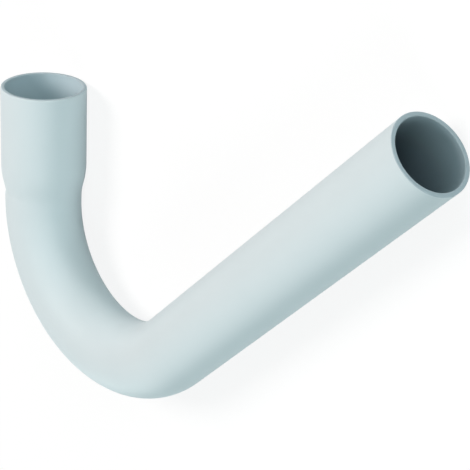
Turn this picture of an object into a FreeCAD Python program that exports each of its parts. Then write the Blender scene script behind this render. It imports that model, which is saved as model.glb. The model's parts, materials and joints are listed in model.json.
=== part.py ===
import FreeCAD, Part
import math
import os
import Sketcher

# Flush bend: one length of pipe, bent through 135 degrees, with a belled socket on its short end
# and a long plain spigot. It lies on its side, so the bend is in the XY plane and +Z is up.
# The origin is the centre of the socket's mouth, and the socket opens towards +Y.
# From the mouth the pipe runs down -Y, bends towards +X and comes back up to its spigot end.

# Driving dimensions in millimetres, and angles in degrees: name, value, meaning
DIMENSIONS = (
    ("pipe_od", 44.0, "outside diameter of the pipe"),
    ("pipe_wall", 2.4, "wall of the pipe"),
    ("bend_radius", 70.5, "radius of the bend at the pipe's axis"),
    ("bend_angle", 135.0, "angle that the bend turns through"),
    ("spigot_length", 245.0, "straight leg from the bend to the spigot end"),
    ("socket_gap", 0.3, "radial room for the pipe pushed into the socket"),
    ("socket_wall", 2.5, "wall of the socket"),
    ("socket_depth", 47.0, "straight bore of the socket, from its mouth"),
    ("bell_angle", 13.0, "slope of the bell's cone to the axis"),
    ("shoulder_radius", 45.0, "outer arc from the socket into the cone"),
    ("neck_radius", 8.0, "outer arc from the cone into the pipe"),
    ("neck_straight", 6.3, "straight pipe between the bell and the bend"),
    ("crease_depth", 0.55, "deepest point of the crease round the outside of the neck"),
    ("crease_run", 0.8, "slope of the crease, from the bell to its bottom"),
    ("crease_ledge", 0.3, "steep side of the crease, from its bottom to the pipe"),
    ("crease_fade", 110.0, "angle round from the bend's outer side at which the crease fades out"),
    ("rim_rounding", 1.0, "rounding of the socket's outer rim"),
    ("rim_edge", 0.5, "rounding of the socket's inner rim"),
    ("spigot_rounding", 0.4, "rounding of the spigot's outer edge"),
    ("spigot_chamfer", 0.4, "chamfer of the spigot's inner edge"),
)

NODE = "flush_bend_pipe"
SHEET = "Sizes"
# Places on a line or arc of a sketch, in the order in which they are numbered there
START, END, CENTRE = range(1, 4)
# A sketch's own axes, which are numbered downwards, and its origin
HORIZONTAL_AXIS, VERTICAL_AXIS = range(-1, -3, -1)
SKETCH_ORIGIN = (HORIZONTAL_AXIS, START)
FULL_TURN = 360
EDGE_TOLERANCE = 1e-4
# The crease's section stands as far out of the pipe as it cuts in, so it is twice as high as its depth
CREASE_STAND = 2

size = {name: value for name, value, meaning in DIMENSIONS}


def point(x, y):
    """A point of a sketch."""
    return FreeCAD.Vector(x, y, 0)


def line(sketch, start, end, helper=False):
    """Draws a line and returns its number; a helper line is no edge of the shape."""
    return sketch.addGeometry(Part.LineSegment(point(*start), point(*end)), helper)


def arc(sketch, centre, radius, start_angle, end_angle):
    """Draws an arc anticlockwise between two angles in radians and returns its number."""
    circle = Part.Circle(point(*centre), FreeCAD.Vector(0, 0, 1), radius)
    return sketch.addGeometry(Part.ArcOfCircle(circle, start_angle, end_angle), False)


def relate(sketch, kind, *where):
    """Adds a constraint that holds no size."""
    sketch.addConstraint(Sketcher.Constraint(kind, *where))


def bind(sketch, name, expression, kind, *where):
    """Adds a constraint that holds a size, under a name, and ties it to the sheet."""
    number = sketch.addConstraint(Sketcher.Constraint(kind, *where))
    sketch.renameConstraint(number, name)
    sketch.setExpression("Constraints." + name, expression)


def measure(sketch, name, kind, *where):
    """Adds a measured distance under a name, for other sketches to follow."""
    number = sketch.addConstraint(Sketcher.Constraint(kind, *where))
    sketch.setDriving(number, False)
    sketch.renameConstraint(number, name)


def new_sheet(document):
    """The sheet that holds the driving dimensions, one to a row."""
    sheet = document.addObject("Spreadsheet::Sheet", SHEET)
    for row, (name, value, meaning) in enumerate(DIMENSIONS, start=1):
        sheet.set("A%d" % row, name)
        sheet.set("B%d" % row, str(value))
        sheet.set("C%d" % row, meaning)
        sheet.setAlias("B%d" % row, name)
    return sheet


def new_sketch(body, name, role):
    """A sketch on one of the body's own origin planes."""
    plane = next(f for f in body.Origin.OriginFeatures if f.Role == role)
    sketch = body.newObject("Sketcher::SketchObject", name)
    sketch.AttachmentSupport = (plane, [""])
    sketch.MapMode = "FlatFace"
    return sketch


class BellLine:
    """One side of the bell: the arc out of the socket, the cone, the arc into the pipe and the neck."""

    def __init__(self, socket_radius, pipe_radius, shoulder_radius, neck_radius):
        slope = math.radians(size["bell_angle"])
        drop = socket_radius - pipe_radius
        arcs_drop = (shoulder_radius + neck_radius) * (1 - math.cos(slope))
        cone_height = (drop - arcs_drop) / math.tan(slope)
        self.socket_radius = socket_radius
        self.pipe_radius = pipe_radius
        self.shoulder_radius = shoulder_radius
        self.neck_radius = neck_radius
        self.slope = slope
        self.shoulder_y = -size["socket_depth"]
        self.cone_top = (
            socket_radius - shoulder_radius * (1 - math.cos(slope)),
            self.shoulder_y - shoulder_radius * math.sin(slope),
        )
        self.cone_foot = (
            pipe_radius + neck_radius * (1 - math.cos(slope)),
            self.cone_top[1] - cone_height,
        )
        self.neck_y = self.cone_foot[1] - neck_radius * math.sin(slope)

    def draw(self, sketch, top_y, foot_y):
        """Draws the side from the socket's rim into the neck, and returns its lines and arcs."""
        socket = line(sketch, (self.socket_radius, top_y), (self.socket_radius, self.shoulder_y))
        shoulder_centre = (self.socket_radius - self.shoulder_radius, self.shoulder_y)
        shoulder = arc(sketch, shoulder_centre, self.shoulder_radius, -self.slope, 0)
        cone = line(sketch, self.cone_top, self.cone_foot)
        neck_centre = (self.pipe_radius + self.neck_radius, self.neck_y)
        neck = arc(sketch, neck_centre, self.neck_radius, math.pi - self.slope, math.pi)
        pipe = line(sketch, (self.pipe_radius, self.neck_y), (self.pipe_radius, foot_y))
        relate(sketch, "Tangent", socket, END, shoulder, END)
        relate(sketch, "Tangent", shoulder, START, cone, START)
        relate(sketch, "Tangent", cone, END, neck, START)
        relate(sketch, "Tangent", neck, END, pipe, START)
        relate(sketch, "Vertical", socket)
        relate(sketch, "Vertical", pipe)
        return socket, shoulder, neck, pipe


def socket_wall_sketch(body):
    """Section of the wall from the socket's rim, over the bell, to half-way down the straight neck."""
    sketch = new_sketch(body, "SocketWall", "XY_Plane")
    pipe_radius = size["pipe_od"] / 2
    bore_radius = pipe_radius + size["socket_gap"]
    rim = size["rim_rounding"]
    edge = size["rim_edge"]
    half_neck = size["neck_straight"] / 2
    outside = BellLine(
        bore_radius + size["socket_wall"], pipe_radius, size["shoulder_radius"], size["neck_radius"]
    )
    inside = BellLine(
        bore_radius,
        pipe_radius - size["pipe_wall"],
        size["shoulder_radius"] - size["socket_wall"],
        size["neck_radius"] + size["pipe_wall"],
    )
    foot_y = outside.neck_y - half_neck

    outer_socket, outer_shoulder, outer_neck, outer_pipe = outside.draw(sketch, -rim, foot_y)
    inner_socket, inner_shoulder, inner_neck, inner_pipe = inside.draw(sketch, -edge, foot_y)
    foot = line(sketch, (outside.pipe_radius, foot_y), (inside.pipe_radius, foot_y))
    inner_rim = arc(sketch, (bore_radius + edge, -edge), edge, math.pi / 2, math.pi)
    face = line(sketch, (bore_radius + edge, 0), (outside.socket_radius - rim, 0))
    outer_rim = arc(sketch, (outside.socket_radius - rim, -rim), rim, 0, math.pi / 2)

    relate(sketch, "Tangent", outer_rim, START, outer_socket, START)
    relate(sketch, "Tangent", outer_rim, END, face, END)
    relate(sketch, "Tangent", inner_rim, START, face, START)
    relate(sketch, "Tangent", inner_rim, END, inner_socket, START)
    relate(sketch, "Coincident", outer_pipe, END, foot, START)
    relate(sketch, "Coincident", inner_pipe, END, foot, END)
    relate(sketch, "Horizontal", foot)
    relate(sketch, "Horizontal", face)
    relate(sketch, "Horizontal", inner_socket, END, outer_socket, END)
    relate(sketch, "PointOnObject", face, START, HORIZONTAL_AXIS)

    origin = SKETCH_ORIGIN
    bind(sketch, "bore_radius", "Sizes.pipe_od / 2 + Sizes.socket_gap",
         "DistanceX", *origin, inner_socket, START, bore_radius)
    bind(sketch, "socket_wall", "Sizes.socket_wall",
         "DistanceX", inner_socket, END, outer_socket, END, size["socket_wall"])
    bind(sketch, "pipe_radius", "Sizes.pipe_od / 2", "DistanceX", *origin, foot, START, pipe_radius)
    bind(sketch, "pipe_wall", "Sizes.pipe_wall", "DistanceX", foot, END, foot, START, size["pipe_wall"])
    bind(sketch, "depth", "Sizes.socket_depth",
         "DistanceY", outer_socket, END, *origin, size["socket_depth"])
    bind(sketch, "outer_slope", "Sizes.bell_angle", "Angle", outer_shoulder, outside.slope)
    bind(sketch, "inner_slope", "Sizes.bell_angle", "Angle", inner_shoulder, inside.slope)
    bind(sketch, "outer_shoulder", "Sizes.shoulder_radius",
         "Radius", outer_shoulder, outside.shoulder_radius)
    bind(sketch, "inner_shoulder", "Sizes.shoulder_radius - Sizes.socket_wall",
         "Radius", inner_shoulder, inside.shoulder_radius)
    bind(sketch, "outer_neck", "Sizes.neck_radius", "Radius", outer_neck, outside.neck_radius)
    bind(sketch, "inner_neck", "Sizes.neck_radius + Sizes.pipe_wall",
         "Radius", inner_neck, inside.neck_radius)
    bind(sketch, "half_neck", "Sizes.neck_straight / 2", "Distance", outer_pipe, half_neck)
    bind(sketch, "outer_rim", "Sizes.rim_rounding", "Radius", outer_rim, rim)
    bind(sketch, "inner_rim", "Sizes.rim_edge", "Radius", inner_rim, edge)
    measure(sketch, "bell_end", "DistanceY", outer_neck, END, *origin, -outside.neck_y)
    measure(sketch, "foot", "DistanceY", foot, START, *origin, -foot_y)
    return sketch


def centreline_sketch(body, foot):
    """Axis of the pipe: the rest of the neck, the bend's arc, and the spigot's straight leg."""
    sketch = new_sketch(body, "Centreline", "XY_Plane")
    half_neck = size["neck_straight"] / 2
    radius = size["bend_radius"]
    turn = math.radians(size["bend_angle"])
    bend_y = -(foot + half_neck)
    leg_start = (radius - radius * math.cos(turn), bend_y - radius * math.sin(turn))
    leg_end = (
        leg_start[0] + size["spigot_length"] * math.sin(turn),
        leg_start[1] - size["spigot_length"] * math.cos(turn),
    )
    neck = line(sketch, (0, -foot), (0, bend_y))
    bend = arc(sketch, (radius, bend_y), radius, math.pi, math.pi + turn)
    leg = line(sketch, leg_start, leg_end)
    relate(sketch, "PointOnObject", neck, START, VERTICAL_AXIS)
    relate(sketch, "Vertical", neck)
    relate(sketch, "Tangent", neck, END, bend, START)
    relate(sketch, "Tangent", bend, END, leg, START)
    bind(sketch, "foot", "SocketWall.Constraints.foot", "DistanceY", neck, START, *SKETCH_ORIGIN, foot)
    bind(sketch, "half_neck", "Sizes.neck_straight / 2", "Distance", neck, half_neck)
    bind(sketch, "radius", "Sizes.bend_radius", "Radius", bend, radius)
    bind(sketch, "turn", "Sizes.bend_angle", "Angle", bend, turn)
    bind(sketch, "leg", "Sizes.spigot_length", "Distance", leg, size["spigot_length"])
    return sketch


def pipe_ring_sketch(body, foot):
    """Section of the pipe, across its axis at the foot of the socket's section."""
    sketch = new_sketch(body, "PipeRing", "XZ_Plane")
    sketch.AttachmentOffset = FreeCAD.Placement(FreeCAD.Vector(0, 0, foot), FreeCAD.Rotation())
    sketch.setExpression("AttachmentOffset.Base.z", "SocketWall.Constraints.foot")
    outer_radius = size["pipe_od"] / 2
    inner_radius = outer_radius - size["pipe_wall"]
    for name, radius, expression in (
        ("outside", outer_radius, "Sizes.pipe_od / 2"),
        ("bore", inner_radius, "Sizes.pipe_od / 2 - Sizes.pipe_wall"),
    ):
        circle = sketch.addGeometry(Part.Circle(point(0, 0), FreeCAD.Vector(0, 0, 1), radius), False)
        relate(sketch, "Coincident", circle, CENTRE, *SKETCH_ORIGIN)
        bind(sketch, name, expression, "Radius", circle, radius)
    return sketch


def crease_sketch(body, bell_end):
    """Section of the crease just below the bell, on the bend's outer side.

    It turns about a line that stands off the pipe's axis, so the crease is deepest on the
    bend's outer side and fades out on its way round.
    """
    sketch = new_sketch(body, "CreaseSection", "XY_Plane")
    depth = size["crease_depth"]
    reach = CREASE_STAND * depth
    run = CREASE_STAND * size["crease_run"]
    rise = CREASE_STAND * size["crease_ledge"]
    offset = depth / (1 - math.cos(math.radians(size["crease_fade"])))
    bottom = (-(size["pipe_od"] / 2 - depth), -(bell_end + size["crease_run"]))
    bell_side = (bottom[0] - reach, bottom[1] + run)
    bend_side = (bottom[0] - reach, bottom[1] - rise)
    slope = line(sketch, bottom, bell_side)
    back = line(sketch, bell_side, bend_side)
    ledge = line(sketch, bend_side, bottom)
    axis = line(sketch, (offset, -bell_end), (offset, 0), helper=True)
    relate(sketch, "Coincident", slope, END, back, START)
    relate(sketch, "Coincident", back, END, ledge, START)
    relate(sketch, "Coincident", ledge, END, slope, START)
    relate(sketch, "Vertical", back)
    relate(sketch, "Vertical", axis)
    relate(sketch, "PointOnObject", axis, END, HORIZONTAL_AXIS)

    origin = SKETCH_ORIGIN
    bind(sketch, "axis_offset", "Sizes.crease_depth / (1 - cos(Sizes.crease_fade * 1 deg))",
         "DistanceX", *origin, axis, END, offset)
    bind(sketch, "axis_length", "SocketWall.Constraints.bell_end", "Distance", axis, bell_end)
    bind(sketch, "bottom_radius", "Sizes.pipe_od / 2 - Sizes.crease_depth",
         "DistanceX", slope, START, *origin, -bottom[0])
    bind(sketch, "bottom_place", "SocketWall.Constraints.bell_end + Sizes.crease_run * 1 mm",
         "DistanceY", slope, START, *origin, -bottom[1])
    bind(sketch, "reach", "%d * Sizes.crease_depth" % CREASE_STAND,
         "DistanceX", slope, END, slope, START, reach)
    bind(sketch, "run", "%d * Sizes.crease_run" % CREASE_STAND,
         "DistanceY", slope, START, slope, END, run)
    bind(sketch, "rise", "%d * Sizes.crease_ledge" % CREASE_STAND,
         "DistanceY", ledge, START, ledge, END, rise)
    return sketch


def edge_name(shape, centre, radius):
    """Name of the round edge with this centre and radius."""
    for number, edge in enumerate(shape.Edges, start=1):
        curve = edge.Curve
        if not isinstance(curve, Part.Circle):
            continue
        same_size = abs(curve.Radius - radius) < EDGE_TOLERANCE
        if same_size and (curve.Center - centre).Length < EDGE_TOLERANCE:
            return "Edge%d" % number
    raise ValueError("no round edge of radius %.2f at the spigot's mouth" % radius)


def add_socket(body, section):
    """Turns the wall's section about the socket's axis: socket, bell and neck."""
    socket = body.newObject("PartDesign::Revolution", "SocketAndBell")
    socket.Profile = section
    socket.ReferenceAxis = (section, ["V_Axis"])
    socket.Angle = FULL_TURN
    return socket


def add_pipe(body, ring, centreline):
    """Carries the pipe's ring along the bend and up the spigot."""
    pipe = body.newObject("PartDesign::AdditivePipe", "BendAndSpigot")
    pipe.Profile = (ring, [""])
    pipe.Spine = (centreline, [])
    return pipe


def cut_crease(body, section):
    """Cuts the crease that the socket's forming leaves on the outside of the neck."""
    crease = body.newObject("PartDesign::Groove", "NeckCrease")
    crease.Profile = section
    crease.ReferenceAxis = (section, ["Axis0"])
    crease.Angle = FULL_TURN
    return crease


def finish_spigot(body, base, centreline):
    """Rounds the outer edge of the spigot's mouth and breaks its inner edge."""
    mouth = centreline.Shape.Vertexes[-1].Point
    outer_radius = size["pipe_od"] / 2
    rounding = body.newObject("PartDesign::Fillet", "SpigotRounding")
    rounding.Base = (base, [edge_name(base.Shape, mouth, outer_radius)])
    rounding.setExpression("Radius", "Sizes.spigot_rounding")
    body.Document.recompute()
    chamfer = body.newObject("PartDesign::Chamfer", "SpigotChamfer")
    chamfer.Base = (rounding, [edge_name(rounding.Shape, mouth, outer_radius - size["pipe_wall"])])
    chamfer.setExpression("Size", "Sizes.spigot_chamfer")
    body.Document.recompute()
    return chamfer


def check_document(document):
    """Stops on a feature that failed."""
    for item in document.Objects:
        if "Invalid" in item.State or "Error" in item.State:
            raise RuntimeError("%s failed: %s" % (item.Name, item.State))


def check_shape(body):
    """Stops unless the body is one sound solid."""
    shape = body.Shape
    if shape.isNull() or not shape.isValid() or len(shape.Solids) != 1:
        raise RuntimeError("%s is not one sound solid" % body.Label)


def check_step(name, change):
    """Stops if a feature added or cut nothing."""
    if change <= 0:
        raise RuntimeError("%s changed nothing" % name)


def build_pipe(document):
    """The pipe, as one body: a turned socket, a swept pipe, the crease and the spigot's edges."""
    body = document.addObject("PartDesign::Body", "FlushBendPipe")
    body.Label = NODE
    section = socket_wall_sketch(body)
    document.recompute()
    foot = section.getDatum("foot").Value
    centreline = centreline_sketch(body, foot)
    ring = pipe_ring_sketch(body, foot)
    document.recompute()
    socket = add_socket(body, section)
    document.recompute()
    pipe = add_pipe(body, ring, centreline)
    document.recompute()
    check_step(pipe.Name, pipe.Shape.Volume - socket.Shape.Volume)
    crease = cut_crease(body, crease_sketch(body, section.getDatum("bell_end").Value))
    document.recompute()
    check_step(crease.Name, pipe.Shape.Volume - crease.Shape.Volume)
    spigot = finish_spigot(body, crease, centreline)
    check_step(spigot.Name, crease.Shape.Volume - spigot.Shape.Volume)
    body.Placement = FreeCAD.Placement(FreeCAD.Vector(0, 0, 0), FreeCAD.Rotation())
    document.recompute()
    return body


def main():
    """Builds the document, checks it and writes one file for the one piece."""
    document = FreeCAD.newDocument("FlushBend")
    new_sheet(document)
    document.recompute()
    pipe = build_pipe(document)
    check_document(document)
    check_shape(pipe)
    os.makedirs("parts", exist_ok=True)
    pipe.Shape.exportStep("parts/%s.step" % pipe.Label)
    box = pipe.Shape.optimalBoundingBox(False)
    print("%s: %.1f x %.1f x %.1f mm, %.0f mm3" % (
        pipe.Label, box.XLength, box.YLength, box.ZLength, pipe.Shape.Volume))


main()
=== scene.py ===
import json
import logging
import math
from dataclasses import dataclass
from enum import Enum

import bmesh
import bpy
from mathutils import Matrix, Vector


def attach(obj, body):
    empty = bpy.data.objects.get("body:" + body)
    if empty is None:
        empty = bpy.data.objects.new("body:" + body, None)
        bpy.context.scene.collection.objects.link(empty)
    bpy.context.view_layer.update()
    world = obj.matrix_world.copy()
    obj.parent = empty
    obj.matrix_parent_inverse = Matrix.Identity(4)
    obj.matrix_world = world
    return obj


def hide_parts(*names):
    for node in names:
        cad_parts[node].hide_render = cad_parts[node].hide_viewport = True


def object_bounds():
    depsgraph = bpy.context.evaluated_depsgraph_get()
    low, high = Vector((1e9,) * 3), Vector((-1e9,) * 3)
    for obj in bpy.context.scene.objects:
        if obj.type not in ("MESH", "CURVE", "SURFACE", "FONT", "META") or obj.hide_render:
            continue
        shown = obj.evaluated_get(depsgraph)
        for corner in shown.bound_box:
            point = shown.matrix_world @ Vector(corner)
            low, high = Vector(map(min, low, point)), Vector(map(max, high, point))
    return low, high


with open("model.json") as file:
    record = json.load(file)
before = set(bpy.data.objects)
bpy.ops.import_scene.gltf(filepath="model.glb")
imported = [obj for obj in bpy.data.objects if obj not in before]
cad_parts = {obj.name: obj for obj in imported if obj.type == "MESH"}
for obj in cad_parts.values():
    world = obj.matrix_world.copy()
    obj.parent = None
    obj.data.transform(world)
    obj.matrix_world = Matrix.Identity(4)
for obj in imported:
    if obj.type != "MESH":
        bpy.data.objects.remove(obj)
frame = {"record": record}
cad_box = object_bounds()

log = logging.getLogger("flush_bend")

MM = 0.001
NODE = "flush_bend_pipe"
BODY = "root"
UNBENT = "unbent"
BORE_DEPTH = "bore_depth"
UP = Vector((0, 0, 1))
DOWN_THE_SOCKET = Vector((0, -1, 0))
# A Mix node of colours numbers its sockets so
SHARE, FIRST, SECOND, MIXED = 0, 6, 7, 2


def srgb(colour: str) -> tuple[float, float, float, float]:
    """Turns a colour written as sRGB hex into the linear values that Blender's sockets take.

    Args:
        colour: six hex digits after a #.

    Returns:
        Linear red, green and blue, and an alpha of 1.
    """
    channels = [int(colour[place:place + 2], 16) / 255 for place in (1, 3, 5)]
    linear = [c / 12.92 if c <= 0.04045 else ((c + 0.055) / 1.055) ** 2.4 for c in channels]
    return (linear[0], linear[1], linear[2], 1.0)


def add_node(
    tree: bpy.types.NodeTree,
    kind: str,
    settings: dict[str, object] | None = None,
    values: dict[str | int, object] | None = None,
    links: dict[str | int, bpy.types.NodeSocket] | None = None,
) -> bpy.types.Node:
    """Adds one node to a tree, sets it up and links its inputs.

    Args:
        tree: the node tree of a material or of the world.
        kind: the node's type name.
        settings: attributes of the node itself.
        values: value of each named or numbered input.
        links: output that feeds each named or numbered input.

    Returns:
        The new node.
    """
    node = tree.nodes.new(kind)
    for name, value in (settings or {}).items():
        setattr(node, name, value)
    for name, value in (values or {}).items():
        node.inputs[name].default_value = value
    for name, socket in (links or {}).items():
        tree.links.new(socket, node.inputs[name])
    return node


def smooth(share: float) -> float:
    """Eases a share of a way from 0 to 1, level at both ends."""
    share = min(max(share, 0.0), 1.0)
    return share * share * (3 - 2 * share)


@dataclass(frozen=True)
class ExtrudedPolyethylene:
    """Pigmented PE-HD, extruded as pipe and then bent and belled hot.

    The cooled skin of the extruded pipe has a satin gloss, which faint die lines along the pipe
    and a slight orange peel break up. The pigment is a pale cool grey, a little cloudy. The cut
    end faces are duller than the outer skin. The bore's colour is painted shade: it starts a
    darker, bluer tone at the mouths and falls off with depth to a dark blue-grey. This stands in
    for the little light that comes back out of the bore.
    """

    colour: str = "#DBE4E7"
    cloud_colour: str = "#D7E1E4"
    face_colour: str = "#BECAD0"
    # Painted shade in the bore: its darker, bluer tone at the mouths, and the dark tone it falls to
    # with depth
    mouth_shade_colour: str = "#C1D3DA"
    bore_shade_colour: str = "#2E3A48"
    # Depth in the bore, as the attribute gives it, at which the tone of the cut face has gone
    face_end: float = 0.025
    roughness: float = 0.5
    roughness_spread: float = 0.05
    specular: float = 0.1
    ior: float = 1.54
    cloud_size: float = 22 * MM
    cloud_detail: float = 3.0
    # Real die lines stand 0.3 mm apart: these are coarser, so that they show at all
    die_line_width: float = 1.3 * MM
    die_line_length: float = 160 * MM
    die_line_height: float = 0.010 * MM
    die_line_detail: float = 2.0
    peel_size: float = 0.9 * MM
    peel_height: float = 0.006 * MM
    peel_detail: float = 1.0

    def material(self) -> bpy.types.Material:
        """Builds the material.

        Returns:
            The material, which reads the pipe's own unbent coordinates and the depth in its bore.
        """
        material = bpy.data.materials.new("extruded_pe_hd")
        material.use_nodes = True
        tree = material.node_tree
        tree.nodes.clear()
        unbent = add_node(tree, "ShaderNodeAttribute", {"attribute_name": UNBENT})
        place = unbent.outputs["Vector"]
        lines = self.die_lines(tree, place)
        shader = add_node(
            tree, "ShaderNodeBsdfPrincipled",
            values={"IOR": self.ior, "Specular IOR Level": self.specular},
            links={
                "Base Color": self.tone(tree, place),
                "Roughness": self.gloss(tree, lines),
                "Normal": self.relief(tree, place, lines),
            },
        )
        add_node(tree, "ShaderNodeOutputMaterial", links={"Surface": shader.outputs["BSDF"]})
        return material

    def tone(
        self, tree: bpy.types.NodeTree, place: bpy.types.NodeSocket
    ) -> bpy.types.NodeSocket:
        """Adds the colour: the cloudy skin, the cut faces, and the painted shade of the bore, which
        darkens from the mouths with depth.

        Args:
            tree: the material's node tree.
            place: the unbent coordinates.

        Returns:
            The colour's output.
        """
        measured = add_node(tree, "ShaderNodeAttribute", {"attribute_name": BORE_DEPTH})
        depth = measured.outputs["Fac"]
        clouds = add_node(
            tree, "ShaderNodeTexNoise",
            values={"Scale": 1 / self.cloud_size, "Detail": self.cloud_detail},
            links={"Vector": place},
        )
        skin = add_node(
            tree, "ShaderNodeMix", {"data_type": "RGBA"},
            {FIRST: srgb(self.colour), SECOND: srgb(self.cloud_colour)},
            {SHARE: clouds.outputs["Fac"]},
        )
        inside = add_node(
            tree, "ShaderNodeMath", {"operation": "ADD", "use_clamp": True}, {1: 1.0}, {0: depth}
        )
        past_face = add_node(
            tree, "ShaderNodeMath", {"operation": "DIVIDE", "use_clamp": True},
            {1: self.face_end}, {0: depth},
        )
        cut = add_node(
            tree, "ShaderNodeMix", {"data_type": "RGBA"},
            {FIRST: srgb(self.face_colour), SECOND: srgb(self.mouth_shade_colour)},
            {SHARE: past_face.outputs[0]},
        )
        # Skin outside the bore; inside it, the cut face's tone and then the mouth's painted shade
        mouth = add_node(
            tree, "ShaderNodeMix", {"data_type": "RGBA"},
            links={
                SHARE: inside.outputs[0],
                FIRST: skin.outputs[MIXED],
                SECOND: cut.outputs[MIXED],
            },
        )
        # Painted shade: with depth the bore's tone falls from the mouth's towards the dark bore
        # tone, as 1 / (1 + depth squared)
        down = add_node(tree, "ShaderNodeMath", {"operation": "MAXIMUM"}, {1: 0.0}, {0: depth})
        fall = add_node(
            tree, "ShaderNodeMath", {"operation": "MULTIPLY_ADD"}, {2: 1.0},
            {0: down.outputs[0], 1: down.outputs[0]},
        )
        open_share = add_node(
            tree, "ShaderNodeMath", {"operation": "DIVIDE"}, {0: 1.0}, {1: fall.outputs[0]}
        )
        tone = add_node(
            tree, "ShaderNodeMix", {"data_type": "RGBA"}, {FIRST: srgb(self.bore_shade_colour)},
            {SHARE: open_share.outputs[0], SECOND: mouth.outputs[MIXED]},
        )
        return tone.outputs[MIXED]

    def die_lines(
        self, tree: bpy.types.NodeTree, place: bpy.types.NodeSocket
    ) -> bpy.types.NodeSocket:
        """Adds the die lines, drawn out along the pipe.

        Args:
            tree: the material's node tree.
            place: the unbent coordinates.

        Returns:
            The output that gives the lines' height from 0 to 1.
        """
        stretch = (1 / self.die_line_width, 1 / self.die_line_width, 1 / self.die_line_length)
        drawn = add_node(
            tree, "ShaderNodeMapping", values={"Scale": stretch}, links={"Vector": place}
        )
        lines = add_node(
            tree, "ShaderNodeTexNoise", values={"Scale": 1.0, "Detail": self.die_line_detail},
            links={"Vector": drawn.outputs["Vector"]},
        )
        return lines.outputs["Fac"]

    def gloss(
        self, tree: bpy.types.NodeTree, lines: bpy.types.NodeSocket
    ) -> bpy.types.NodeSocket:
        """Adds the roughness, which the die lines vary a little.

        Args:
            tree: the material's node tree.
            lines: the die lines' height.

        Returns:
            The roughness's output.
        """
        roughness = add_node(
            tree, "ShaderNodeMapRange",
            values={
                "To Min": self.roughness - self.roughness_spread,
                "To Max": self.roughness + self.roughness_spread,
            },
            links={"Value": lines},
        )
        return roughness.outputs["Result"]

    def relief(
        self,
        tree: bpy.types.NodeTree,
        place: bpy.types.NodeSocket,
        lines: bpy.types.NodeSocket,
    ) -> bpy.types.NodeSocket:
        """Adds the relief of the die lines and of the orange peel.

        Args:
            tree: the material's node tree.
            place: the unbent coordinates.
            lines: the die lines' height.

        Returns:
            The output of the bumped normal.
        """
        peel = add_node(
            tree, "ShaderNodeTexNoise",
            values={"Scale": 1 / self.peel_size, "Detail": self.peel_detail},
            links={"Vector": place},
        )
        ridges = add_node(
            tree, "ShaderNodeBump", values={"Strength": 1.0, "Distance": self.die_line_height},
            links={"Height": lines},
        )
        surface = add_node(
            tree, "ShaderNodeBump", values={"Strength": 1.0, "Distance": self.peel_height},
            links={"Height": peel.outputs["Fac"], "Normal": ridges.outputs["Normal"]},
        )
        return surface.outputs["Normal"]


@dataclass(frozen=True)
class PaleFloor:
    """A matt pale floor that throws its own light on the pipe and looks white.

    What looks at the floor sees it a tone darker, with a lift that brings it back to white. Its
    shadows stay, but fainter.
    """

    colour: str = "#ADB5B7"
    seen_colour: str = "#6E6E6E"
    lift: float = 0.86

    def material(self) -> bpy.types.Material:
        """Builds the floor's material.

        Returns:
            The material, whose lift shows only to what looks at the floor.
        """
        material = bpy.data.materials.new("pale_floor")
        material.use_nodes = True
        tree = material.node_tree
        tree.nodes.clear()
        looks = looks_at(tree)
        colour = add_node(
            tree, "ShaderNodeMix", {"data_type": "RGBA"},
            {FIRST: srgb(self.colour), SECOND: srgb(self.seen_colour)}, {SHARE: looks},
        )
        matt = add_node(tree, "ShaderNodeBsdfDiffuse", links={"Color": colour.outputs[MIXED]})
        seen = add_node(
            tree, "ShaderNodeMath", {"operation": "MULTIPLY"}, {1: self.lift}, {0: looks}
        )
        lift = add_node(tree, "ShaderNodeEmission", links={"Strength": seen.outputs[0]})
        both = add_node(
            tree, "ShaderNodeAddShader",
            links={0: matt.outputs["BSDF"], 1: lift.outputs["Emission"]},
        )
        add_node(tree, "ShaderNodeOutputMaterial", links={"Surface": both.outputs["Shader"]})
        return material


def looks_at(tree: bpy.types.NodeTree) -> bpy.types.NodeSocket:
    """Adds what tells a ray that looks at the background from one that brings its light.

    Args:
        tree: the node tree of the background's material or of the world.

    Returns:
        An output that is 1 for camera, glossy and transmission rays and 0 for the others.
    """
    path = add_node(tree, "ShaderNodeLightPath")
    either = add_node(
        tree, "ShaderNodeMath", {"operation": "MAXIMUM"},
        links={0: path.outputs["Is Camera Ray"], 1: path.outputs["Is Glossy Ray"]},
    )
    any_of_three = add_node(
        tree, "ShaderNodeMath", {"operation": "MAXIMUM"},
        links={0: either.outputs[0], 1: path.outputs["Is Transmission Ray"]},
    )
    return any_of_three.outputs[0]


@dataclass(frozen=True)
class Station:
    """One ring of the wall: its distance along the pipe from the socket's mouth, and radius."""

    along: float
    radius: float


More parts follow.
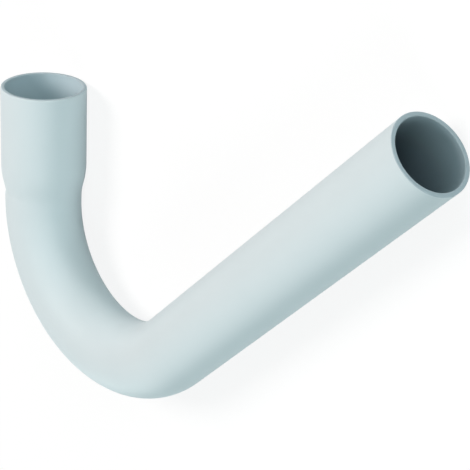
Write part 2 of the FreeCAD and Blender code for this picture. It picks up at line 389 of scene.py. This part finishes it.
@dataclass(frozen=True)
class BellLine:
    """One side of the bell: an arc, a cone and an arc between the straight socket and the pipe."""

    socket_radius: float
    pipe_radius: float
    depth: float
    slope: float
    shoulder_radius: float
    neck_radius: float
    shoulder_steps: int = 14
    cone_steps: int = 12
    neck_steps: int = 8

    @property
    def end(self) -> float:
        """Works out where the bell ends.

        Returns:
            The distance along the pipe from the socket's mouth.
        """
        arcs = self.shoulder_radius + self.neck_radius
        drop = self.socket_radius - self.pipe_radius - arcs * (1 - math.cos(self.slope))
        return self.depth + arcs * math.sin(self.slope) + drop / math.tan(self.slope)

    def stations(self) -> list[Station]:
        """Lays out the bell.

        Returns:
            Its rings, in order down the pipe.
        """
        shoulder = [
            Station(
                self.depth + self.shoulder_radius * math.sin(angle),
                self.socket_radius - self.shoulder_radius * (1 - math.cos(angle)),
            )
            for angle in self.angles(self.shoulder_steps)
        ]
        neck = [
            Station(
                self.end - self.neck_radius * math.sin(angle),
                self.pipe_radius + self.neck_radius * (1 - math.cos(angle)),
            )
            for angle in reversed(self.angles(self.neck_steps))
        ]
        top, foot = shoulder[-1], neck[0]
        cone = [
            Station(
                top.along + (foot.along - top.along) * step / self.cone_steps,
                top.radius + (foot.radius - top.radius) * step / self.cone_steps,
            )
            for step in range(1, self.cone_steps)
        ]
        return shoulder + cone + neck

    def angles(self, steps: int) -> list[float]:
        """Angles from level to the cone's slope, in even steps."""
        return [self.slope * step / steps for step in range(steps + 1)]


@dataclass(frozen=True)
class Crease:
    """The pinch that forming left under the bell, and the swelling that the bend starts with.

    Both are on the outer side of the bend. The wall sinks ever more steeply over the last of the
    bell and steps up again in a short way. The swelling comes up more softly, reaches further
    round the pipe and goes down along the bend. Where nothing is pinched, the neck folds softly.
    """

    slope: float
    neck_radius: float
    soft_radius: float = 36 * MM
    depth: float = 0.6 * MM
    run: float = 2.0 * MM
    bottom: float = 0.6 * MM
    step: float = 0.35 * MM
    fade: float = math.radians(80)
    fade_width: float = math.radians(36)
    swelling: float = 0.93 * MM
    swelling_rise: float = 4.0 * MM
    swelling_length: float = 27 * MM
    rings: int = 6

    def height(self, past: float, outer: float) -> float:
        """Works out how far forming moved the wall.

        Args:
            past: distance from the end of the bell, below zero on the bell.
            outer: cosine of the angle round the pipe from the outer side.

        Returns:
            The height over the plain pipe, below zero in the crease.
        """
        if past < self.bottom:
            sink = max((past + self.run) / (self.bottom + self.run), 0.0) ** 2
        else:
            sink = 1 - smooth((past - self.bottom) / self.step)
        pinched = smooth((self.fade - math.acos(min(max(outer, -1.0), 1.0))) / self.fade_width)
        rise = smooth(past / self.swelling_rise + 0.5)
        fall = math.exp(-((max(past, 0.0) / self.swelling_length) ** 2))
        swell = rise * (fall * ((1 + outer) / 2) ** 2)
        soft = self.softness(past) * (1 - pinched)
        return self.swelling * swell + soft - self.depth * sink * pinched

    def fold_length(self, radius: float) -> float:
        """How far an arc of the neck reaches to each side of the fold between cone and pipe."""
        return radius * math.tan(self.slope / 2)

    def softness(self, past: float) -> float:
        """Works out how far the soft fold stands over the tight one.

        Args:
            past: distance from the end of the bell, below zero on the bell.

        Returns:
            The height over the tight fold.
        """
        from_fold = abs(past + self.fold_length(self.neck_radius))
        soft, tight = (
            max(self.fold_length(radius) - from_fold, 0.0) ** 2 / (2 * radius)
            for radius in (self.soft_radius, self.neck_radius)
        )
        return soft - tight

    def stations(self) -> list[float]:
        """Lays out the rings that the crease and the soft fold need.

        Returns:
            Their distances from the end of the bell, in order down the pipe.
        """
        sinking = [self.bottom * ring / self.rings for ring in range(1, self.rings)]
        rising = [self.bottom + self.step * ring / self.rings for ring in range(self.rings + 1)]
        rest = self.fold_length(self.soft_radius) - self.fold_length(self.neck_radius) - rising[-1]
        level = [rising[-1] + rest * ring / self.rings for ring in range(1, self.rings + 1)]
        return sinking + rising + level


@dataclass
class RingWalker:
    """A ring of edges that is carried along the pipe and leaves the wall's faces behind it."""

    mesh: bmesh.types.BMesh
    edges: list[bmesh.types.BMEdge]
    radius: float
    place: Vector
    heading: Vector
    along: float = 0.0

    def reach(self, station: Station) -> None:
        """Draws the wall straight to a new ring.

        Args:
            station: the ring, which lies ahead, behind or in the same plane.
        """
        made = bmesh.ops.extrude_edge_only(self.mesh, edges=self.edges)["geom"]
        self.edges = [
            item for item in made
            if isinstance(item, bmesh.types.BMEdge) and len(item.link_faces) == 1
        ]
        verts = list({vert for edge in self.edges for vert in edge.verts})
        size = station.radius / self.radius
        step = self.heading * (station.along - self.along)
        bmesh.ops.scale(
            self.mesh, vec=(size, size, size), space=Matrix.Translation(-self.place), verts=verts
        )
        bmesh.ops.translate(self.mesh, vec=step, verts=verts)
        self.place = self.place + step
        self.along = station.along
        self.radius = station.radius

    def bend(self, centre: Vector, angle: float, steps: int) -> None:
        """Spins the wall round a bend in the pipe's own plane.

        Args:
            centre: the point that the bend turns about.
            angle: how far it turns, below zero on the way back up the pipe.
            steps: how many rings it takes.
        """
        made = bmesh.ops.spin(
            self.mesh, geom=self.edges, cent=centre, axis=UP, angle=angle, steps=steps
        )["geom_last"]
        self.edges = [item for item in made if isinstance(item, bmesh.types.BMEdge)]
        turn = Matrix.Rotation(angle, 3, UP)
        arm = self.place - centre
        self.place = centre + turn @ arm
        self.heading = turn @ self.heading
        self.along += arm.length * angle


class Corner(Enum):
    """How an edge of the wall is broken, with the number of rings that it takes."""

    ROUND = 5
    CHAMFER = 1


@dataclass
class BentPipe:
    """The flush bend: socket, bell, creased neck, bend and spigot, in one wall."""

    pipe_radius: float
    bore_radius: float
    socket_bore: float
    socket_depth: float
    spigot_length: float
    turn: float
    socket_wall: float = 2.5 * MM
    bend_radius: float = 70.5 * MM
    bell_slope: float = math.radians(13)
    shoulder_radius: float = 45 * MM
    neck_radius: float = 8 * MM
    neck_straight: float = 6.3 * MM
    rim_rounding: float = 1.0 * MM
    rim_edge: float = 0.5 * MM
    spigot_rounding: float = 0.4 * MM
    spigot_chamfer: float = 0.4 * MM
    support: float = 0.6 * MM
    cut_edge: float = 0.15 * MM
    # Depth in each mouth at which half of its light is left
    socket_light: float = 34 * MM
    spigot_light: float = 17 * MM
    # How near to a flat end a point counts as on it
    on_face: float = 0.05 * MM
    segments: int = 144
    bend_steps: int = 108
    leg_steps: int = 10
    sharp: float = math.radians(30)

    @classmethod
    def from_record(cls, record: dict) -> "BentPipe":
        """Reads the pipe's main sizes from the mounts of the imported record.

        Args:
            record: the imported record.

        Returns:
            The pipe.
        """
        mounts = {mount["name"]: mount for mount in record["mounts"]}
        spigot = mounts["spigot"]
        return cls(
            pipe_radius=spigot["dims"]["r_mm"] * MM,
            bore_radius=mounts["spigot_bore"]["dims"]["r_mm"] * MM,
            socket_bore=mounts["socket"]["dims"]["r_mm"] * MM,
            socket_depth=mounts["socket"]["dims"]["length_mm"] * MM,
            spigot_length=spigot["dims"]["length_mm"] * MM,
            turn=DOWN_THE_SOCKET.angle(Vector(spigot["axis"])),
        )

    def __post_init__(self) -> None:
        """Works out the two sides of the bell and where the bend begins."""
        self.outside = BellLine(
            self.socket_bore + self.socket_wall, self.pipe_radius, self.socket_depth,
            self.bell_slope, self.shoulder_radius, self.neck_radius,
        )
        self.inside = BellLine(
            self.socket_bore, self.bore_radius, self.socket_depth, self.bell_slope,
            self.shoulder_radius - self.socket_wall,
            self.neck_radius + self.pipe_radius - self.bore_radius,
        )
        self.bend_start = self.outside.end + self.neck_straight
        self.bend_centre = Vector((self.bend_radius, -self.bend_start, 0))
        self.bend_end = self.bend_start + self.bend_radius * self.turn
        self.end = self.bend_end + self.spigot_length
        self.crease = Crease(self.bell_slope, self.neck_radius)

    def corner(self, face: Station, side: Station, kind: Corner) -> list[Station]:
        """Rings round an edge of the wall, from its flat end face to its long side.

        Args:
            face: where the end face stops.
            side: where the long side starts.
            kind: how the edge is broken.

        Returns:
            The stations from the face to the side, both included.
        """
        if kind is Corner.CHAMFER:
            return [face, side]
        steps = kind.value
        angles = [math.pi / 2 * step / steps for step in range(steps + 1)]
        return [
            Station(
                face.along + (side.along - face.along) * (1 - math.cos(angle)),
                face.radius + (side.radius - face.radius) * math.sin(angle),
            )
            for angle in angles
        ]

    def socket_outside(self) -> list[Station]:
        """Lays out the outside of the socket.

        Returns:
            The rings from its face over the rim and down the bell.
        """
        radius = self.outside.socket_radius
        rim = self.corner(
            Station(0, radius - self.rim_rounding), Station(self.rim_rounding, radius), Corner.ROUND
        )
        support = Station(self.rim_rounding + self.support, radius)
        return rim[1:] + [support] + self.outside.stations()

    def socket_inside(self) -> list[Station]:
        """Lays out the inside of the socket.

        Returns:
            The rings from its face over the inner edge and down the bell.
        """
        radius = self.inside.socket_radius
        edge = self.corner(
            Station(0, radius + self.rim_edge), Station(self.rim_edge, radius), Corner.ROUND
        )
        support = Station(self.rim_edge + self.support, radius)
        return edge + [support] + self.inside.stations()

    def leg(self, radius: float, start: float, stop: float) -> list[Station]:
        """Evenly spaced rings of the spigot's straight leg."""
        step = (stop - start) / self.leg_steps
        return [Station(start + step * number, radius) for number in range(1, self.leg_steps + 1)]

    def mouth(self) -> list[Station]:
        """Lays out the spigot's end.

        Returns:
            The rings from its outside over the face into its bore.
        """
        outer = self.corner(
            Station(self.end, self.pipe_radius - self.spigot_rounding),
            Station(self.end - self.spigot_rounding, self.pipe_radius),
            Corner.ROUND,
        )
        inner = self.corner(
            Station(self.end, self.bore_radius + self.spigot_chamfer),
            Station(self.end - self.spigot_chamfer, self.bore_radius),
            Corner.CHAMFER,
        )
        support = Station(self.end - self.spigot_chamfer - self.support, self.bore_radius)
        return outer[::-1] + inner + [support]

    def neck(self) -> list[Station]:
        """Rings of the straight neck, close together across the crease."""
        crease = [self.outside.end + past for past in self.crease.stations()]
        return [Station(along, self.pipe_radius) for along in crease + [self.bend_start]]

    def press_crease(self, mesh: bmesh.types.BMesh) -> None:
        """Presses the crease, the swelling and the soft fold into the outside of the wall.

        Args:
            mesh: the bent wall.
        """
        for vert in mesh.verts:
            straight = self.unbent(vert.co)
            radial = straight.xy.length
            if radial > self.pipe_radius - self.rim_edge:
                height = self.crease.height(straight.z - self.outside.end, straight.x / radial)
                arm = self.outer_side(straight.z) * straight.x + UP * straight.y
                vert.co += arm * height / radial

    def outer_side(self, along: float) -> Vector:
        """Direction of the bend's outer side at a distance along the pipe."""
        turned = min(max((along - self.bend_start) / self.bend_radius, 0), self.turn)
        return Matrix.Rotation(turned, 3, UP) @ Vector((-1, 0, 0))

    def wall(self) -> bmesh.types.BMesh:
        """Walks one ring down the outside of the pipe and back up its bore, and closes the face.

        Returns:
            The wall's mesh, with its faces pointing outwards.
        """
        mesh = bmesh.new()
        radius = self.outside.socket_radius - self.rim_rounding
        circle = bmesh.ops.create_circle(
            mesh, segments=self.segments, radius=radius, matrix=Matrix.Rotation(math.pi / 2, 4, "X")
        )
        first = list({edge for vert in circle["verts"] for edge in vert.link_edges})
        walker = RingWalker(mesh, first, radius, Vector((0, 0, 0)), DOWN_THE_SOCKET)

        for station in self.socket_outside() + self.neck():
            walker.reach(station)
        walker.bend(self.bend_centre, self.turn, self.bend_steps)
        leg_stop = self.end - self.spigot_rounding - self.cut_edge
        for station in self.leg(self.pipe_radius, self.bend_end, leg_stop) + self.mouth():
            walker.reach(station)
        for station in self.leg(self.bore_radius, walker.along, self.bend_end):
            walker.reach(station)
        walker.bend(self.bend_centre, -self.turn, self.bend_steps)
        for station in reversed(self.socket_inside()):
            walker.reach(station)
        bmesh.ops.bridge_loops(mesh, edges=first + walker.edges)
        bmesh.ops.recalc_face_normals(mesh, faces=mesh.faces)
        return mesh

    def unbent(self, point: Vector) -> Vector:
        """Where a point of the wall was before the pipe was bent.

        Args:
            point: a point of the bent pipe.

        Returns:
            The point's two offsets from the pipe's axis, and its distance along the pipe.
        """
        arm = point - self.bend_centre
        angle = math.atan2(arm.y, arm.x) % math.tau - math.pi
        if point.y > -self.bend_start and point.x < self.bend_radius:
            return Vector((-point.x, point.z, -point.y))
        if 0 <= angle <= self.turn:
            outwards = Vector((arm.x, arm.y, 0)).length - self.bend_radius
            return Vector((outwards, point.z, self.bend_start + self.bend_radius * angle))
        back = Matrix.Rotation(-self.turn, 3, UP) @ arm
        return Vector((-back.x - self.bend_radius, point.z, self.bend_end - back.y))

    def depth_in_bore(self, straight: Vector) -> float:
        """How deep a point of the wall lies in the dark of the bore, from the nearer mouth.

        Args:
            straight: the point's unbent coordinates.

        Returns:
            The depth as a multiple of the depth at which half of the mouth's light is left. It is
            0 on the end faces, with the spigot's broken edges, and -1 on the outside.
        """
        along = straight.z
        if along < self.on_face or self.end - along < self.spigot_rounding + self.on_face:
            return 0.0
        nearer = min(along / self.socket_light, (self.end - along) / self.spigot_light)
        bell = self.outside.end - self.socket_depth
        down = min(max((along - self.socket_depth) / bell, 0), 1)
        socket_middle = self.socket_bore + self.socket_wall / 2
        pipe_middle = (self.pipe_radius + self.bore_radius) / 2
        middle = socket_middle * (1 - down) + pipe_middle * down
        return -1.0 if straight.xy.length > middle else nearer

    def build(self) -> bpy.types.Object:
        """Makes the wall's object, shades it and stores its unbent coordinates.

        Returns:
            The object, at the origin, linked to the scene.
        """
        mesh = self.wall()
        unbent = mesh.verts.layers.float_vector.new(UNBENT)
        bore_depth = mesh.verts.layers.float.new(BORE_DEPTH)
        for vert in mesh.verts:
            straight = self.unbent(vert.co)
            vert[unbent] = straight
            # The depth in the bore drives the painted shade in the material's colour
            vert[bore_depth] = self.depth_in_bore(straight)
        self.press_crease(mesh)
        for face in mesh.faces:
            face.smooth = True
        for edge in mesh.edges:
            edge.smooth = edge.calc_face_angle(0) < self.sharp
        data = bpy.data.meshes.new("bent_pipe")
        mesh.to_mesh(data)
        mesh.free()
        piece = bpy.data.objects.new("bent_pipe", data)
        bpy.context.scene.collection.objects.link(piece)
        return piece

    def dress(self, piece: bpy.types.Object) -> None:
        """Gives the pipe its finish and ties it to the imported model.

        Args:
            piece: the pipe's object.
        """
        piece.data.materials.append(ExtrudedPolyethylene().material())
        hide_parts(NODE)
        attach(piece, BODY)


@dataclass(frozen=True)
class SoftBox:
    """A round soft box: its bearing from +X, its height in degrees, its share of light and tint.

    A share of 1 lights a white surface that faces the soft box to white.
    """

    name: str
    bearing: float
    height: float
    share: float
    colour: str
    distance: float = 2.0
    width: float = 1.0

    def hang(self, target: Vector) -> bpy.types.Object:
        """Hangs the soft box and turns it to the target.

        Args:
            target: the point that it shines at.

        Returns:
            The lamp's object, linked to the scene.
        """
        data = bpy.data.lights.new(self.name, "AREA")
        data.shape = "DISK"
        data.size = self.width
        data.energy = self.share * (math.pi * self.distance) ** 2
        data.color = srgb(self.colour)[:3]
        turn = Matrix.Rotation(math.radians(self.bearing), 3, "Z") @ Matrix.Rotation(
            -math.radians(self.height), 3, "Y"
        )
        lamp = bpy.data.objects.new(self.name, data)
        lamp.location = target + turn @ Vector((self.distance, 0, 0))
        lamp.rotation_euler = (target - lamp.location).to_track_quat("-Z", "Y").to_euler()
        bpy.context.scene.collection.objects.link(lamp)
        return lamp


@dataclass
class Studio:
    """Camera, floor, lamps and surroundings."""

    floor_z: float
    # Camera of the photographed view: its place, and where the picture's right and up point
    eye: tuple[float, float, float] = (0.804161, 0.356643, 0.600789)
    picture_right: tuple[float, float, float] = (0.67146, 0.04025, -0.73994)
    picture_up: tuple[float, float, float] = (-0.32659, 0.91239, -0.24673)
    lens: float = 140.983
    sensor: float = 36.0
    floor_size: float = 8.0
    target: tuple[float, float, float] = (0.14, -0.05, 0.0)
    key_colour: str = "#FFF8F5"
    fill_colour: str = "#ECFEFF"
    wide: float = 1.2

    def camera(self) -> bpy.types.Object:
        """Places the camera at the photographed view of the pipe.

        Returns:
            The camera's object, linked to the scene.
        """
        data = bpy.data.cameras.new("camera")
        data.lens = self.lens
        data.sensor_width = self.sensor
        right = Vector(self.picture_right)
        up = Vector(self.picture_up)
        camera = bpy.data.objects.new("camera", data)
        turn = Matrix((right, up, right.cross(up))).transposed()
        camera.matrix_world = Matrix.Translation(self.eye) @ turn.to_4x4()
        bpy.context.scene.collection.objects.link(camera)
        bpy.context.scene.camera = camera
        return camera

    def floor(self) -> bpy.types.Object:
        """Lays the pale floor under the pipe.

        Returns:
            The floor's object, linked to the scene.
        """
        mesh = bmesh.new()
        bmesh.ops.create_grid(mesh, x_segments=1, y_segments=1, size=self.floor_size / 2)
        bmesh.ops.translate(mesh, vec=(0, 0, self.floor_z), verts=mesh.verts)
        data = bpy.data.meshes.new("floor")
        mesh.to_mesh(data)
        mesh.free()
        data.materials.append(PaleFloor().material())
        floor = bpy.data.objects.new("floor", data)
        bpy.context.scene.collection.objects.link(floor)
        return floor

    def lamps(self) -> list[bpy.types.Object]:
        """Hangs the soft boxes: a high key, two fills in front of the pipe and two low behind it.

        Returns:
            The lamps' objects, linked to the scene.
        """
        boxes = [
            SoftBox("key", bearing=135, height=60, share=0.76, colour=self.key_colour),
            SoftBox(
                "right_fill", bearing=50, height=24, share=0.45, colour=self.fill_colour,
                width=self.wide,
            ),
            SoftBox(
                "front_fill", bearing=315, height=25, share=0.44, colour=self.fill_colour,
                width=self.wide,
            ),
            SoftBox("back_fill", bearing=240, height=8, share=0.32, colour=self.fill_colour),
            SoftBox("left_fill", bearing=180, height=8, share=0.16, colour=self.fill_colour),
        ]
        return [box.hang(Vector(self.target)) for box in boxes]

    def world(self) -> bpy.types.World:
        """Makes the surroundings: white to look at, but dark as a light on the pipe.

        Returns:
            The world.
        """
        world = bpy.data.worlds.new("studio")
        world.use_nodes = True
        tree = world.node_tree
        tree.nodes.clear()
        white = add_node(tree, "ShaderNodeBackground", links={"Strength": looks_at(tree)})
        add_node(tree, "ShaderNodeOutputWorld", links={"Surface": white.outputs["Background"]})
        bpy.context.scene.world = world
        return world


def main() -> None:
    """Builds the pipe and the studio round it."""
    logging.basicConfig(level=logging.INFO, format="%(name)s: %(message)s")
    pipe = BentPipe.from_record(frame["record"])
    piece = pipe.build()
    pipe.dress(piece)
    log.info("%s: %d faces", piece.name, len(piece.data.polygons))
    studio = Studio(floor_z=cad_box[0].z)
    studio.camera()
    studio.floor()
    studio.lamps()
    studio.world()
    bpy.context.scene.view_settings.view_transform = "Standard"


if __name__ == "__main__":
    main()
